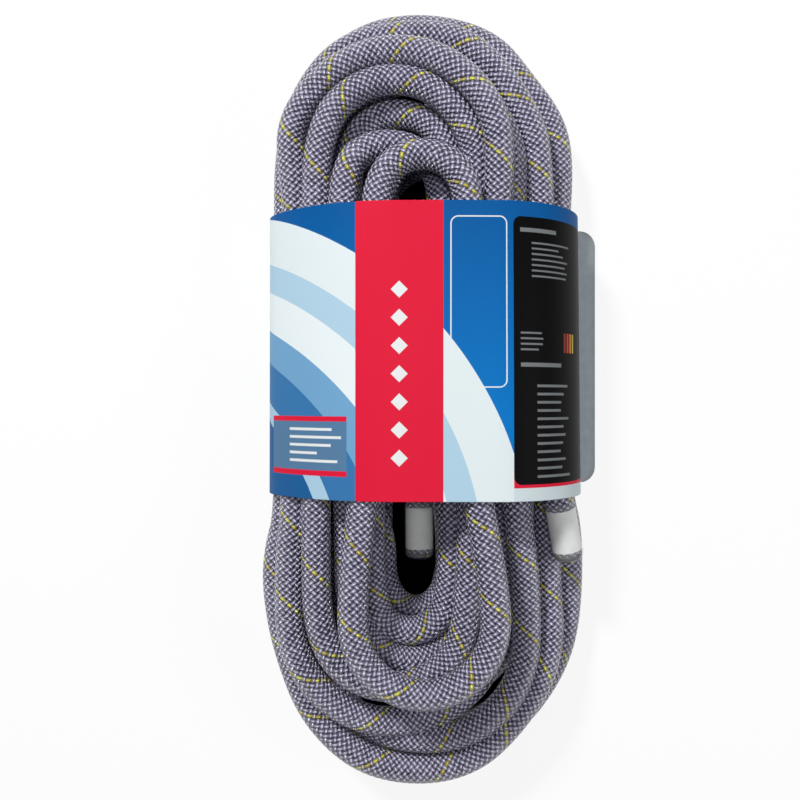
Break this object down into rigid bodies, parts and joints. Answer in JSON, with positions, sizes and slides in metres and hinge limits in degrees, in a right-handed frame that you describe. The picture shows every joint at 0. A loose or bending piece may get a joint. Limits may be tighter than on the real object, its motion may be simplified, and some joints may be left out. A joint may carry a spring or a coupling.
{
  "type": "climbing rope",
  "caption": "Kernmantle climbing rope wound in an oblong hank and held by a printed card sleeve that slides off along it; its ends have labels under clear tube.",
  "frame": {"origin": "middle of the hank, on the underside of the card sleeve's back panel", "axes": "+Z out of the printed front face, +Y along the loops towards the end that the sleeve slides off over, +X towards the labelled end and the card's tab"},
  "size_m": [0.1035, 0.232, 0.0472],
  "materials": {
    "rope_sheath": "woven",
    "rope_core": "twisted yarn",
    "label": "matte",
    "clear_tube": "clear",
    "fused_nylon": "melted",
    "card": "coated print",
    "glue": "hot melt"
  },
  "bodies": {
    "rope": {"rope_hank": "rope_sheath", "sheath_tail_inner": "rope_sheath", "core_strands_inner": "rope_core", "end_label_inner": "label", "heat_shrink_inner": "clear_tube", "melted_tip_inner": "fused_nylon", "sheath_tail_outer": "rope_sheath", "core_strands_outer": "rope_core", "end_label_outer": "label", "heat_shrink_outer": "clear_tube", "melted_tip_outer": "fused_nylon"},
    "sleeve": {"card_sleeve": "card", "seam_glue": "glue"}
  },
  "joints": [
    {"name": "sleeve_slide", "type": "slide", "parent": "rope", "child": "sleeve", "axis": [0, 1, 0], "range_m": [0, 0.145]}
  ]
}
